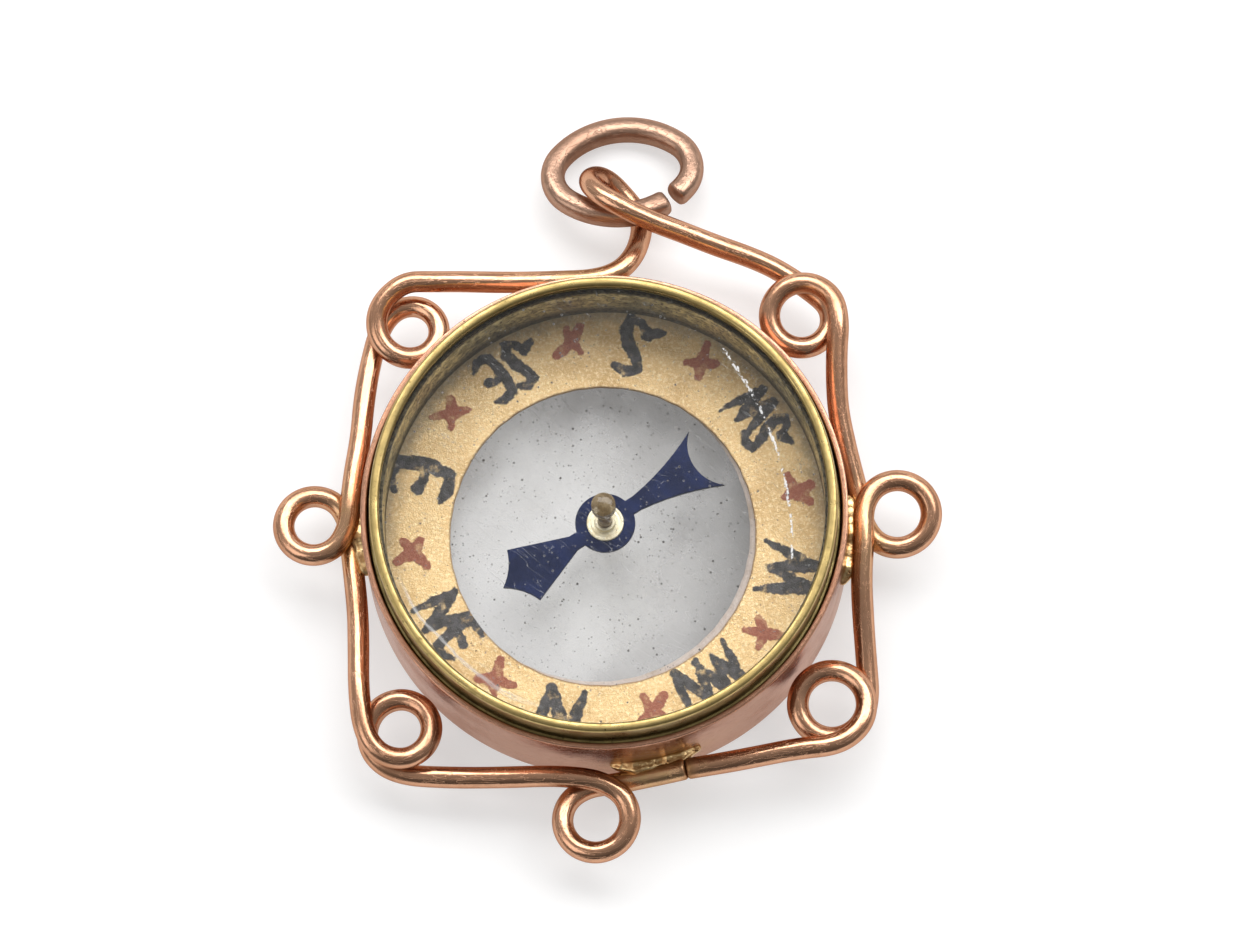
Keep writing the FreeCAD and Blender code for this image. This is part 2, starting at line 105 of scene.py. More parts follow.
class Finish:
    """One material: a Principled shader on the output, and one way to add any other node."""

    def __init__(self, name, **constants):
        self.material = bpy.data.materials.new(name)
        self.material.use_nodes = True
        self.tree = self.material.node_tree
        self.shader = self.tree.nodes["Principled BSDF"]
        for socket, value in constants.items():
            self.shader.inputs[socket.replace("_", " ")].default_value = value

    def node(self, kind, settings=None, sockets=None, out=0):
        """Adds a node of a type: its settings first, then the values or links of its sockets."""
        made = self.tree.nodes.new("ShaderNode" + kind)
        for key, value in (settings or {}).items():
            setattr(made, key, value)
        for key, value in (sockets or {}).items():
            self.plug(made.inputs[key], value)
        return Value(self, made.outputs[out])

    def plug(self, socket, value):
        if isinstance(value, Value):
            self.tree.links.new(value.socket, socket)
        elif isinstance(value, tuple) and socket.type == "RGBA":
            socket.default_value = (*value, 1.0)
        else:
            socket.default_value = value

    def feed(self, **sockets):
        """Links or sets sockets of the Principled shader, named with underscores for spaces."""
        for key, value in sockets.items():
            self.plug(self.shader.inputs[key.replace("_", " ")], value)
        return self

    def place(self):
        """Position on the piece, in millimetres."""
        at = self.node("TexCoord", out="Object")
        return self.node("VectorMath", {"operation": "SCALE"}, {0: at, "Scale": 1 / MM})

    def along(self, stretch_u, stretch_v):
        """Position on the surface: the UV map in millimetres, stretched each way."""
        at = self.node("UVMap", {"uv_map": "surface"})
        return self.node("VectorMath", {"operation": "MULTIPLY"}, {0: at, 1: (stretch_u, stretch_v, 1.0)})

    def part(self, vector, letter):
        """One of the vector's three numbers, by its letter."""
        return self.node("SeparateXYZ", None, {0: vector}, out=letter)

    def away(self, vector, centre=(0.0, 0.0)):
        """Distance across the dial from a centre, with the height left out."""
        flat = self.node("VectorMath", {"operation": "MULTIPLY"}, {0: vector, 1: (1.0, 1.0, 0.0)})
        return self.node("VectorMath", {"operation": "DISTANCE"}, {0: flat, 1: (*centre, 0.0)}, out="Value")

    def noise(self, vector, scale, detail=3.0, roughness=0.5):
        """Cloudy numbers about 0.5, with scale lumps to a millimetre."""
        sockets = {"Vector": vector, "Scale": scale, "Detail": detail, "Roughness": roughness}
        return self.node("TexNoise", None, sockets)

    def specks(self, vector, scale, radius):
        """Round specks, one in each Voronoi cell, whose radius is a share of the cell."""
        cells = self.node("TexVoronoi", None, {"Vector": vector, "Scale": scale})
        return cells.step(radius, 0.5 * radius)

    def scratches(self, vector, scale, width):
        """Thin lines where a stretched noise crosses its middle value."""
        return (self.noise(vector, scale, 2.0) - 0.5).distance().step(width, 0.0)

    def carried(self, name):
        """A number that the mesh carries at each point."""
        return self.node("Attribute", {"attribute_name": name}, out="Fac")

    def blend(self, share, first, second):
        """A colour between two, by share."""
        return self.node("Mix", {"data_type": "RGBA"}, {0: share, 6: first, 7: second}, out=2)

    def bump(self, height, depth, under=None):
        """Relief of the given depth in millimetres at height 1."""
        sockets = {"Height": height, "Distance": depth * MM, "Strength": 1.0}
        if under is not None:
            sockets["Normal"] = under
        return self.node("Bump", None, sockets)


def skin(name, grid, closed=(True, True), lengths=(1.0, 1.0), carries=None, material=None):
    """Mesh of quads between neighbouring points of a grid of millimetre points.

    A closed direction joins its last row to its first; an open first direction gets a flat end at
    each side. The UV map runs over lengths, in millimetres. The faces are turned outwards by the
    sign of the volume, which is the sum over faces of corner . (corner x corner) / 6."""
    rows, cols = grid.shape[:2]
    i, j = np.meshgrid(np.arange(rows - (not closed[0])), np.arange(cols - (not closed[1])), indexing="ij")
    i, j = i.ravel(), j.ravel()
    corners = [(i, j), (i + 1, j), (i + 1, j + 1), (i, j + 1)]
    points = grid.reshape(-1, 3) * MM
    quads = np.stack([(a % rows) * cols + b % cols for a, b in corners], axis=1)
    step = np.array(lengths) / (rows, cols)
    uv = np.stack([np.stack([a, b], axis=1) * step for a, b in corners], axis=1)
    a, b, c, d = (points[quads[:, k]] for k in range(4))
    volume = (np.einsum("ij,ij->i", a, np.cross(b, c)) + np.einsum("ij,ij->i", a, np.cross(c, d))).sum()
    if volume < 0:
        quads, uv = quads[:, ::-1], uv[:, ::-1]
    faces = quads.tolist()
    if not closed[0]:
        start, end = list(range(cols)), list(range((rows - 1) * cols, rows * cols))
        faces += [start[::-1], end] if volume < 0 else [start, end[::-1]]
    mesh = bpy.data.meshes.new(name)
    mesh.from_pydata(points.tolist(), [], faces)
    flat = np.zeros((len(mesh.loops), 2))
    flat[:uv.size // 2] = uv.reshape(-1, 2)
    mesh.uv_layers.new(name="surface").data.foreach_set("uv", flat.ravel())
    for key, numbers in (carries or {}).items():
        layer = mesh.attributes.new(key, "FLOAT", "POINT")
        layer.data.foreach_set("value", numbers.ravel().astype(np.float32))
    mesh.shade_smooth()
    piece = bpy.data.objects.new(name, mesh)
    bpy.context.scene.collection.objects.link(piece)
    if material:
        mesh.materials.append(material)
    return piece


def section(corners, spacing, round_steps=5):
    """Closed outline through (radius, height, fillet) corners, each rounded by a parabola that
    leaves and joins its sides a fillet away from the corner; straight runs are split at spacing."""
    at = np.array([c[:2] for c in corners], float)
    fillet = np.array([c[2] for c in corners], float)[:, None]
    back, ahead = np.roll(at, 1, axis=0) - at, np.roll(at, -1, axis=0) - at
    back /= np.linalg.norm(back, axis=1, keepdims=True)
    ahead /= np.linalg.norm(ahead, axis=1, keepdims=True)
    t = np.linspace(0, 1, round_steps)[None, :, None]
    start, end = (at + back * fillet)[:, None], (at + ahead * fillet)[:, None]
    arcs = ((1 - t) ** 2 * start + 2 * t * (1 - t) * at[:, None] + t**2 * end).reshape(-1, 2)
    runs = np.linalg.norm(np.roll(arcs, -1, axis=0) - arcs, axis=1)
    place = np.concatenate([[0], np.cumsum(runs)])
    looped = np.vstack([arcs, arcs[:1]])
    splits = [np.linspace(a, b, max(2, int(math.ceil((b - a) / spacing)) + 1))[:-1]
              for a, b in zip(place, place[1:]) if b - a > 1e-6]
    s = np.concatenate(splits)
    return np.stack([np.interp(s, place, looped[:, k]) for k in (0, 1)], axis=1), place[-1]


def waves(angle, height, size, most, seed):
    """Gentle unevenness: a sum of cosine waves round the piece, from one to most of them a turn, each
    leaning a little with the height, within about size."""
    draw = np.random.default_rng(seed)
    total = np.zeros(np.broadcast(angle, height).shape)
    for count in range(1, most + 1):
        total += np.cos(count * angle + draw.uniform(0, 6.28) + draw.uniform(-0.6, 0.6) * height) / count
    return size * total / 1.6


def turned(name, corners, around, material, spacing=0.3, uneven=0.0, seed=0, carry=None):
    """Surface of revolution: point = (r cos a, r sin a, z) for each section point and angle a, with
    the radius and the height moved by waves of at most about the uneven length."""
    outline, length = section(corners, spacing)
    angle = np.linspace(0, 2 * math.pi, around, endpoint=False)[:, None]
    radius, height = outline[None, :, 0], outline[None, :, 1]
    radius = radius + waves(angle, height, uneven, 5, seed)
    height = height + waves(angle, 0 * height, 0.5 * uneven, 4, seed + 1) * (height > outline[:, 1].mean())
    grid = np.stack([radius * np.cos(angle), radius * np.sin(angle), height + 0 * angle], axis=2)
    round_length = 2 * math.pi * outline[:, 0].max()
    return skin(name, grid, lengths=(round_length, length), carries=carry(grid) if carry else None,
                material=material)


SOLDER_SPOTS = np.radians([180, -3, -78, 94])    # where the wire is soldered to the band
SOLDER_HEIGHT = 2.2
SOLDER_RADIUS = 10.2
SOLDER_SPREAD = 1.3               # how far the yellow stain reaches, in square millimetres


def near_solder(grid):
    """1 beside a soldered joint, 0 farther than about 2 mm away: a bell curve of the distance."""
    radius = np.hypot(grid[..., 0], grid[..., 1])[..., None]
    angle = np.arctan2(grid[..., 1], grid[..., 0])[..., None] - SOLDER_SPOTS
    sideways = 0.6 * radius * np.abs((angle + math.pi) % (2 * math.pi) - math.pi)
    outward = np.abs(radius - SOLDER_RADIUS)
    upward = np.abs(grid[..., 2][..., None] - SOLDER_HEIGHT)
    return {"solder": np.exp(-(sideways**2 + outward**2 + upward**2) / SOLDER_SPREAD).max(axis=-1)}


def rose_gold(name, bright, deep, roughness, streak, marks, edge=(0.62, 0.47, 0.42, 1.0)):
    """Worn rose gold, tinted by edge where it is seen at a slant: a warm blush of tarnish in broad patches,
    tarnish and painted shade where the mesh carries them (in the crevices, and on the jump ring's inner
    side), yellower metal beside the solder, fine rubbing marks along the work and small nicks."""
    gold = Finish(name, Metallic=1.0, Specular_Tint=edge)
    at = gold.place()
    patches = gold.noise(at, 0.38, 4.0, 0.55).step(0.42, 0.68)
    mottle = gold.noise(at, 2.6, 5.0, 0.6).step(0.40, 0.75)
    rubbed = gold.noise(gold.along(*streak), 1.0, 3.0, 0.6)
    hairlines = gold.scratches(gold.along(streak[0] * 1.7, streak[1] * 0.6), 1.3, 0.012)
    nicks = gold.specks(at, 1.1, 0.07) * gold.noise(at, 0.9).step(0.5, 0.6)
    # darkening carried by the mesh: tarnish with painted shade in the crevices, and painted shade on the jump
    # ring's inner side
    shaded_and_tarnished = gold.carried("tarnish_and_shade")
    joint = gold.carried("solder")
    blush_and_shade = (0.30 * patches + 0.14 * mottle + 0.75 * shaded_and_tarnished).clip()
    colour = gold.blend(blush_and_shade, bright, deep)
    colour = gold.blend((joint * (0.45 + 0.5 * mottle)).clip(), colour, (0.62, 0.45, 0.20))
    colour = gold.blend(nicks * 0.5, colour, (0.16, 0.07, 0.04))
    relief = gold.bump(gold.noise(at, 0.45, 2.0), 0.035)
    relief = gold.bump(gold.noise(at, 5.0, 3.0), 0.0035 * marks, relief)
    relief = gold.bump(rubbed + 0.8 * hairlines + nicks, 0.0022 * marks, relief)
    rough = roughness + 0.10 * patches + 0.06 * rubbed + 0.12 * hairlines + 0.25 * shaded_and_tarnished + 0.08 * joint
    return gold.feed(Base_Color=colour, Roughness=rough, Normal=relief).material


band_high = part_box("case_band")[1]
INSET = 0.004                     # keeps a surface that is a little uneven inside its CAD piece
BAND_RADIUS = band_high.x / MM
BAND_HEIGHT = band_high.z / MM
BAND_WALL = 0.25
BAND_BORE = BAND_RADIUS - BAND_WALL
LIP_BORE = BAND_BORE - 0.45
LIP_TOP = 0.25

band_gold = rose_gold("band_rose_gold", (0.57, 0.31, 0.205), (0.32, 0.13, 0.075), 0.17, (0.5, 9.0), 1.5,
                      edge=(0.86, 0.74, 0.68, 1.0))
gold_band = turned("gold_band", [
    (LIP_BORE, INSET, 0.04), (BAND_RADIUS - INSET, INSET, 0.09), (BAND_RADIUS - INSET, BAND_HEIGHT, 0.07),
    (BAND_BORE, BAND_HEIGHT, 0.06), (BAND_BORE, LIP_TOP, 0.03), (LIP_BORE, LIP_TOP, 0.04),
], 420, band_gold, spacing=0.22, uneven=0.012, seed=3,
    # the band is darkened at its bore and at the inner edge of its rim: tarnish with painted shade where it
    # meets the cup and bezel
    carry=lambda grid: {"tarnish_and_shade": np.exp(-((np.hypot(grid[..., 0], grid[..., 1]) - BAND_BORE) / 0.06) ** 2),
                        **near_solder(grid)})
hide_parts("case_band")
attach(gold_band, "case")


# ---------------------------------------------------------------- bent wire frame
# One length of round rose-gold wire, bent cold round pegs: a squarish frame with a loop inside each
# corner, a loop outside three of its sides and a bail loop on edge. It is soldered to the band.
WIRE_RADIUS = 0.45
WIRE_PITCH = 0.96
WIRE_LOW = 1.80
BUTT_GAP = 0.04


def peg_loop(centre, start, turn, radii):
    """Control points of one loop: angle grows evenly by turn, the radius follows a parabola through
    the three radii, and the height rises by WIRE_PITCH a full turn. The points stand outside the
    circle by 1 / cos(half a step), so that a quadratic spline through their middles runs on it."""
    steps = max(8, round(abs(turn) / 45))
    t = np.linspace(0, 1, steps + 1)
    first, middle, last = radii
    radius = first * (1 - t) * (1 - 2 * t) + 4 * middle * t * (1 - t) + last * t * (2 * t - 1)
    reach = radius / math.cos(math.radians(turn / steps / 2))
    angle = np.radians(start + turn * t)
    rise = WIRE_LOW + WIRE_PITCH * abs(turn) * t / 360
    return np.stack([centre[0] + reach * np.cos(angle), centre[1] + reach * np.sin(angle), rise], axis=1)


BAIL_LOOP = [
    (1.47, 13.40, 0.68), (1.22, 14.00, 0.56), (0.80, 14.55, 0.60), (0.12, 15.21, 0.98),
    (-0.40, 15.28, 1.55), (-0.72, 14.96, 2.22), (-0.65, 14.50, 2.82), (-0.15, 13.97, 3.16),
    (0.42, 13.62, 3.26), (1.15, 13.22, 3.22),
]
WIRE_ROUTE = np.vstack([
    [(3.30, -10.20, 2.40), (2.44, -10.36, 2.20), (1.41, -10.52, 2.00), (0.35, -10.72, 1.84)],
    peg_loop((-0.38, -12.27), 105, 335, (1.39, 1.39, 1.39)),
    [(-1.03, -10.62, 2.70), (-2.30, -10.52, 2.60), (-4.30, -10.52, 2.30), (-6.50, -10.45, 2.00)],
    peg_loop((-8.37, -8.50), -92, -440, (1.66, 1.24, 1.45)),
    [(-10.13, -6.90, 2.90), (-10.15, -5.20, 2.60), (-10.20, -3.60, 2.30), (-10.38, -1.95, 2.00),
     (-10.53, -0.80, 1.86)],
    peg_loop((-12.00, 0.15), 10, 342, (1.30, 1.30, 1.30)),
    [(-10.52, 0.90, 2.78), (-10.40, 2.20, 2.62), (-10.13, 3.80, 2.40), (-10.02, 5.50, 2.15),
     (-9.78, 7.10, 1.92)],
    peg_loop((-8.00, 8.42), 166, -424, (1.30, 1.12, 1.84)),
    [(-7.20, 10.38, 2.90), (-5.95, 10.42, 2.75), (-4.20, 10.42, 2.55), (-2.20, 10.50, 2.35),
     (-0.45, 10.62, 2.15), (0.60, 11.05, 1.95), (1.18, 11.80, 1.70), (1.42, 12.70, 1.12)],
    BAIL_LOOP,
    [(2.05, 12.86, 3.00), (3.10, 12.52, 2.75), (4.60, 11.98, 2.45), (6.00, 11.56, 2.15), (7.20, 11.05, 1.92)],
    peg_loop((8.10, 8.90), 66, -440, (1.20, 1.30, 1.50)),
    [(9.56, 7.40, 2.85), (9.55, 6.00, 2.65), (9.62, 4.80, 2.45), (9.95, 3.30, 2.20), (10.30, 1.95, 1.95),
     (10.56, 0.90, 1.84)],
    peg_loop((12.06, 0.52), -169, 340, (1.37, 1.37, 1.37)),
    [(10.64, -0.55, 2.78), (10.52, -2.20, 2.60), (10.60, -4.00, 2.25), (10.72, -5.70, 1.95)],
    peg_loop((9.18, -7.50), 9, -446, (1.55, 1.30, 1.76)),
    [(7.90, -9.48, 2.90), (6.30, -9.76, 2.72), (4.70, -10.02, 2.52),
     (3.30 + BUTT_GAP, -10.20 - 0.17 * BUTT_GAP, 2.40)],
])


def even_line(route, spacing):
    """Evenly spaced points on the quadratic spline of a route: each span is the parabola from one
    run's middle to the next, tangent to both, and the two ends are kept."""
    middles = (route[:-1] + route[1:]) / 2
    middles[0], middles[-1] = route[0], route[-1]
    t = np.linspace(0, 1, 24, endpoint=False)[None, :, None]
    a, b, c = middles[:-1, None], route[1:-1, None], middles[1:, None]
    fine = ((1 - t) ** 2 * a + 2 * t * (1 - t) * b + t**2 * c).reshape(-1, 3)
    fine = np.vstack([fine, route[-1:]])
    place = np.concatenate([[0], np.cumsum(np.linalg.norm(np.diff(fine, axis=0), axis=1))])
    even = np.linspace(0, place[-1], int(place[-1] / spacing) + 1)
    return np.stack([np.interp(even, place, fine[:, k]) for k in range(3)], axis=1), place[-1]


def eased(line, reach):
    """The line after a running mean weighted by a bell, which eases the curvature; its ends stay."""
    weights = np.exp(-np.linspace(-2, 2, 2 * reach + 1) ** 2)
    weights /= weights.sum()
    padded = np.vstack([2 * line[:1] - line[reach:0:-1], line, 2 * line[-1:] - line[-2:-reach - 2:-1]])
    return np.stack([np.convolve(padded[:, k], weights, "valid") for k in range(3)], axis=1)


def wire_surface(line, radius, sides, square=2.0):
    """Wire: point = line + radius (cos f . side + sin f . over) / (|cos f|^p + |sin f|^p)^(1/p), where
    side is level and at right angles to the run, over is at right angles to both, and p is square:
    2 makes the wire round, more makes it squarer. radius may change along the line."""
    run = np.gradient(line, axis=0)
    run /= np.linalg.norm(run, axis=1, keepdims=True)
    side = np.cross(run, (0.0, 0.0, 1.0))
    side /= np.linalg.norm(side, axis=1, keepdims=True)
    over = np.cross(side, run)
    turn = np.linspace(0, 2 * math.pi, sides, endpoint=False)[None, :, None]
    reach = np.broadcast_to(np.asarray(radius, float), (len(line),))[:, None, None]
    reach = reach / (np.abs(np.cos(turn)) ** square + np.abs(np.sin(turn)) ** square) ** (1 / square)
    return line[:, None] + reach * (np.cos(turn) * side[:, None] + np.sin(turn) * over[:, None])


def closeness(grid, line, spacing, apart, within):
    """1 where the surface touches another stretch of the line or the band, 0 at within away. Stations
    of the line less than apart away along it don't count."""
    rows, sides = grid.shape[:2]
    stations = line[::5]
    points = grid.reshape(-1, 3)
    squares = (points**2).sum(1)[:, None] + (stations**2).sum(1)[None] - 2 * points @ stations.T
    own = np.abs(np.repeat(np.arange(rows), sides)[:, None] - np.arange(0, rows, 5)[None]) * spacing < apart
    squares[own] = 1e3
    gap = np.sqrt(np.maximum(squares.min(1), 0)).reshape(rows, sides) - WIRE_RADIUS
    to_band = np.abs(np.hypot(grid[..., 0], grid[..., 1]) - BAND_RADIUS)
    return np.clip(1 - np.minimum(gap, to_band) / within, 0, 1) ** 1.5


WIRE_SPACING = 0.085
WIRE_SIDES = 30
SAME_STRETCH = 2.4                # nearer along the wire than this, it doesn't count as touching itself
CREVICE_REACH = 0.32
wire_line, wire_length = even_line(WIRE_ROUTE, WIRE_SPACING)
wire_line = eased(wire_line, 4)
stretch = np.arange(len(wire_line)) * WIRE_SPACING
from_tip = np.clip(np.minimum(stretch, stretch[::-1]) / 0.10, 0, 1)
# drawn by hand, so its thickness wanders by about a hundredth; its two tips are eased
wire_radius = WIRE_RADIUS - 0.006 + 0.004 * np.cos(stretch * 0.71) + 0.002 * np.cos(stretch * 2.3 + 1)
wire_radius *= 0.86 + 0.14 * np.sqrt(from_tip)
wire_grid = wire_surface(wire_line, wire_radius, WIRE_SIDES)
wire_gold = rose_gold("wire_rose_gold", (0.62, 0.345, 0.215), (0.30, 0.125, 0.055), 0.15, (0.35, 7.0), 1.4)
# where the wire touches itself or the band it is darkened: tarnish with painted shade
crevice_tarnish_and_shade = closeness(wire_grid, wire_line, WIRE_SPACING, SAME_STRETCH, CREVICE_REACH)
bent_wire = skin("bent_wire", wire_grid, closed=(False, True),
                 lengths=(wire_length, 2 * math.pi * WIRE_RADIUS),
                 carries={"tarnish_and_shade": crevice_tarnish_and_shade, **near_solder(wire_grid)}, material=wire_gold)
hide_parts("scroll_wire")
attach(bent_wire, "case")


# ---------------------------------------------------------------- solder joints
# Yellower gold solder, run in between the band and the wire beside it at four places. It wets both,
# so its face is hollow between them, and it ends in a thin uneven tongue each way.
def solder_metal():
    """Solder: pale yellow gold, pitted, with dull flux stains."""
    solder = Finish("yellow_solder", Metallic=1.0)
    at = solder.place()
    stain = solder.noise(at, 1.7, 5.0, 0.65).step(0.45, 0.7)
    pits = solder.specks(at, 3.2, 0.16)
    colour = solder.blend(stain, (0.74, 0.54, 0.27), (0.44, 0.24, 0.10))
    colour = solder.blend(pits, colour, (0.20, 0.11, 0.05))
    relief = solder.bump(solder.noise(at, 1.9, 3.0), 0.10)
    relief = solder.bump(solder.noise(at, 7.0, 4.0) - 0.7 * pits, 0.02, relief)
    rough = 0.30 + 0.22 * stain + 0.2 * pits
    return solder.feed(Base_Color=colour, Roughness=rough, Normal=relief).material


def solder_tongue(name, degrees, span, reach, height, depth, seed, material):
    """Fillet bent round the band: across it, the section is a lens from the band to the wire whose
    half height is narrowest in the middle, and along it both the lens and its reach fade as
    (1 - s^2)^0.6 towards the two tips at s = -1 and 1."""
    along = np.linspace(-0.995, 0.995, 61)[:, None]
    around = np.linspace(0, 2 * math.pi, 28, endpoint=False)[None]
    draw = np.random.default_rng(seed)
    ragged = 1 + 0.16 * np.cos(7 * along + draw.uniform(0, 6))
    ragged += 0.08 * np.cos(17 * along + draw.uniform(0, 6))
    fade = (1 - along**2) ** 0.6 * ragged
    across = np.cos(around)
    waist = 0.55 + 0.45 * across**2
    radius = BAND_RADIUS - 0.10 + reach * (0.25 + 0.75 * fade) * (across + 1) / 2
    lift = height + 0.5 * depth * fade * np.sin(around) * waist
    angle = math.radians(degrees) + math.radians(span / 2) * along
    grid = np.stack([radius * np.cos(angle), radius * np.sin(angle), lift], axis=2)
    tongue = skin(name, grid, closed=(False, True), lengths=(span * 0.17, 2.0), material=material)
    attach(tongue, "case")
    return tongue


solder_finish = solder_metal()
for side, degrees, span, reach, height, depth in (
    ("left", 180, 23, 0.62, 2.30, 1.30), ("right", -3.4, 22, 0.68, 2.35, 1.40),
    ("bottom", -78, 22, 0.60, 2.20, 1.25), ("top", 94, 20, 0.55, 2.35, 1.20),
):
    joint = solder_tongue("solder_joint_" + side, degrees, span, reach, height, depth, len(side),
                          solder_finish)
    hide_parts("solder_web_" + side)


# ---------------------------------------------------------------- jump ring
# An oval ring of thicker round wire, sprung a little open so that a chain can be put on. It is the
# most rubbed piece: duller, with long file marks and blunt sawn ends.
RING_WIRE = 1.05
RING_LONG, RING_SHORT, RING_END = 2.92, 2.12, 1.55
RING_CENTRE = (0.66, 15.52)
RING_TURN, RING_TILT = 8.0, 18.0
RING_GAP, RING_GAP_AT = 0.45, -43.0


def oval_line(count):
    """Closed oval of four arcs: two ends of radius RING_END and two flatter sides, which meet where
    the line between their centres cuts the oval. Angles run on from arc to arc."""
    end_centre = RING_LONG - RING_END
    rise = RING_SHORT - RING_END
    side_centre = (end_centre**2 - rise**2) / (2 * rise)
    join = math.atan2(side_centre, end_centre)
    arcs = [(end_centre, 0, RING_END, -join, 2 * join), (0, -side_centre, RING_SHORT + side_centre, join,
            math.pi - 2 * join), (-end_centre, 0, RING_END, math.pi - join, 2 * join),
            (0, side_centre, RING_SHORT + side_centre, math.pi + join, math.pi - 2 * join)]
    whole = []
    for x, y, radius, start, sweep in arcs:
        angle = start + sweep * np.linspace(0, 1, 60, endpoint=False)
        whole.append(np.stack([x + radius * np.cos(angle), y + radius * np.sin(angle), 0 * angle], axis=1))
    whole = np.vstack(whole)
    bearing = (np.degrees(np.arctan2(whole[:, 1], whole[:, 0])) - RING_GAP_AT) % 360
    whole = whole[np.argsort(bearing)]
    place = np.concatenate([[0], np.cumsum(np.linalg.norm(np.diff(whole, axis=0), axis=1))])
    even = np.linspace(RING_GAP / 2 + 0.01, place[-1] - RING_GAP / 2 + 0.05, count)
    return np.stack([np.interp(even, place, whole[:, k]) for k in range(3)], axis=1), place[-1]


def laid(points):
    """The oval turned about Z, tilted about X and set down where the CAD ring lies."""
    tilt = Matrix.Rotation(math.radians(-RING_TILT), 3, "X")
    turn = tilt @ Matrix.Rotation(math.radians(RING_TURN), 3, "Z")
    ring_low, ring_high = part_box("jump_ring")
    centre = np.array([*RING_CENTRE, (ring_low.z + ring_high.z) / 2 / MM])
    return points @ np.array(turn).T + centre


RING_STATIONS, RING_SIDES = 150, 40
ring_line, ring_length = oval_line(RING_STATIONS)
station = np.arange(RING_STATIONS)
from_end = np.minimum(station, station[::-1]) * ring_length / RING_STATIONS
# worn a little thin, unevenly, with its sawn ends eased
ring_radius = RING_WIRE / 2 - 0.030 + 0.006 * np.cos(np.linspace(0, 19, RING_STATIONS))
ring_radius *= 0.87 + 0.13 * np.sqrt(np.clip(from_end / 0.16, 0, 1))
ring_grid = wire_surface(eased(ring_line, 3), ring_radius, RING_SIDES, 2.5)
ring_grid = laid(ring_grid.reshape(-1, 3)).reshape(RING_STATIONS, RING_SIDES, 3)
ring_side = np.linspace(0, 2 * math.pi, RING_SIDES, endpoint=False)[None]
ring_side = np.cos(ring_side) * np.ones((RING_STATIONS, 1))
ring_gold = rose_gold("rubbed_rose_gold", (0.42, 0.26, 0.185), (0.22, 0.115, 0.070), 0.27, (0.5, 5.0), 4.0)
# painted shade: the ring's wire is darker on its inner side, towards the middle of the ring
open_ring = skin("open_ring", ring_grid, closed=(False, True), lengths=(ring_length, math.pi * RING_WIRE),
                 carries={"tarnish_and_shade": np.clip(-ring_side, 0, 1) ** 2 * 0.55, "solder": 0 * ring_side},
                 material=ring_gold)
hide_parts("jump_ring")
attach(open_ring, "ring")


# ---------------------------------------------------------------- capsule cup
# The drop-in compass is a brass cup: a lip at the back holds the rear glass, and the thin spigot at
# the front carries the bezel. Its satin brass has gone olive all over.
def old_brass(name, bright, dull, roughness, streak):
    """Satin brass: olive tarnish in clouds, darker where the mesh carries tarnish and painted shade, darker
    specks, and turning marks round the work.
    """
    brass = Finish(name, Metallic=1.0)
    at = brass.place()
    clouds = brass.noise(at, 0.9, 5.0, 0.6).step(0.38, 0.70)
    grime = brass.noise(at, 4.5, 5.0, 0.7).step(0.55, 0.72)
    turned_marks = brass.noise(brass.along(*streak), 1.0, 3.0, 0.65)
    nicks = brass.specks(at, 1.6, 0.10) * brass.noise(at, 0.7).step(0.45, 0.6)
    stain = (0.55 * clouds + 0.35 * brass.carried("tarnish_and_shade")).clip()
    colour = brass.blend(stain, bright, dull)
    colour = brass.blend((0.5 * grime + nicks).clip(), colour, tuple(0.35 * c for c in dull))
    relief = brass.bump(brass.noise(at, 0.8, 2.0), 0.03)
    relief = brass.bump(turned_marks - nicks, 0.004, relief)
    rough = roughness + 0.14 * clouds + 0.10 * turned_marks + 0.2 * grime
    return brass.feed(Base_Color=colour, Roughness=rough, Normal=relief).material


cup_low, cup_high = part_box("capsule_cup")
bezel_low, bezel_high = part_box("front_bezel")
rear_low, rear_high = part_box("rear_glass")
CUP_RADIUS = cup_high.x / MM
GLASS_PLAY = 0.02
CUP_BORE = rear_high.x / MM + GLASS_PLAY
LEDGE = 0.30                      # how far the cup's lip reaches in under the rear glass
SHOULDER = bezel_low.z / MM
BEZEL_WALL = 0.18
SPIGOT_RADIUS = bezel_high.x / MM - BEZEL_WALL
CUP_STAIN = 0.6
cup_brass = old_brass("cup_brass", (0.52, 0.42, 0.18), (0.20, 0.15, 0.06), 0.30, (0.4, 8.0))
brass_cup = turned("brass_cup", [
    (CUP_BORE - LEDGE, cup_low.z / MM, 0.04), (CUP_RADIUS, cup_low.z / MM, 0.07),
    (CUP_RADIUS, SHOULDER, 0.08), (SPIGOT_RADIUS, SHOULDER, 0.02),
    (SPIGOT_RADIUS, cup_high.z / MM, 0.02), (CUP_BORE, cup_high.z / MM, 0.02),
    (CUP_BORE, rear_low.z / MM, 0.02), (CUP_BORE - LEDGE, rear_low.z / MM, 0.04),
], 360, cup_brass, spacing=0.5, carry=lambda grid: {"tarnish_and_shade": np.full(grid.shape[:2], CUP_STAIN)})
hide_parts("capsule_cup")
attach(brass_cup, "capsule")


